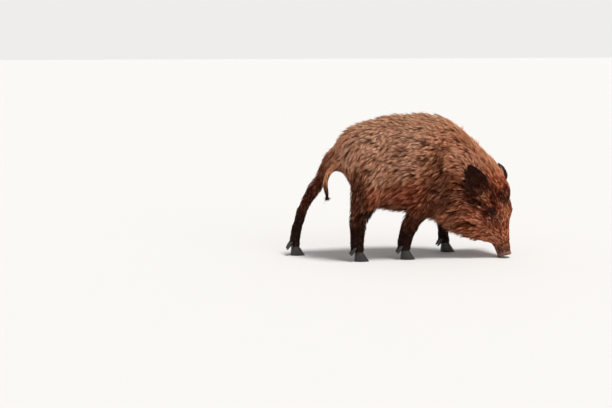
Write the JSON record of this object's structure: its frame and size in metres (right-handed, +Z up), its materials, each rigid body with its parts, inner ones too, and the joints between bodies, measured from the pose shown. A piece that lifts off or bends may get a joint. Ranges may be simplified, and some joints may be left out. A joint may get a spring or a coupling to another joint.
{
  "type": "wild boar",
  "caption": "Life-size wild boar in its winter coat, walking with its head down and its snout rooting at the ground.",
  "frame": {"origin": "on the floor, under the middle of the boar's bounding box", "axes": "+X the way the boar walks, +Y its left side, +Z up"},
  "size_m": [1.208, 0.4004, 0.7679],
  "materials": {
    "coat_back": "coarse grizzled bristles, pale brown over dark underfur",
    "coat_face": "shorter red-brown bristles",
    "coat_dark": "short black-brown bristles",
    "snout_skin": "bare moist skin, faintly ribbed",
    "hoof": "worn dark horn",
    "eye": "wet, near-black brown"
  },
  "bodies": {
    "root": {"trunk": "coat_back", "neck": "coat_back", "head": "coat_face", "lower_jaw": "coat_face", "snout_disc": "snout_skin", "tail": "coat_dark", "ear_right": "coat_dark", "eye_right": "eye", "ear_left": "coat_dark", "eye_left": "eye", "foreleg_right": "coat_dark", "hoof_foreleg_right_inner": "hoof", "dewclaw_foreleg_right_inner": "hoof", "hoof_foreleg_right_outer": "hoof", "dewclaw_foreleg_right_outer": "hoof", "foreleg_left": "coat_dark", "hoof_foreleg_left_inner": "hoof", "dewclaw_foreleg_left_inner": "hoof", "hoof_foreleg_left_outer": "hoof", "dewclaw_foreleg_left_outer": "hoof", "hindleg_right": "coat_dark", "hoof_hindleg_right_inner": "hoof", "dewclaw_hindleg_right_inner": "hoof", "hoof_hindleg_right_outer": "hoof", "dewclaw_hindleg_right_outer": "hoof", "hindleg_left": "coat_dark", "hoof_hindleg_left_inner": "hoof", "dewclaw_hindleg_left_inner": "hoof", "hoof_hindleg_left_outer": "hoof", "dewclaw_hindleg_left_outer": "hoof"}
  },
  "joints": []
}
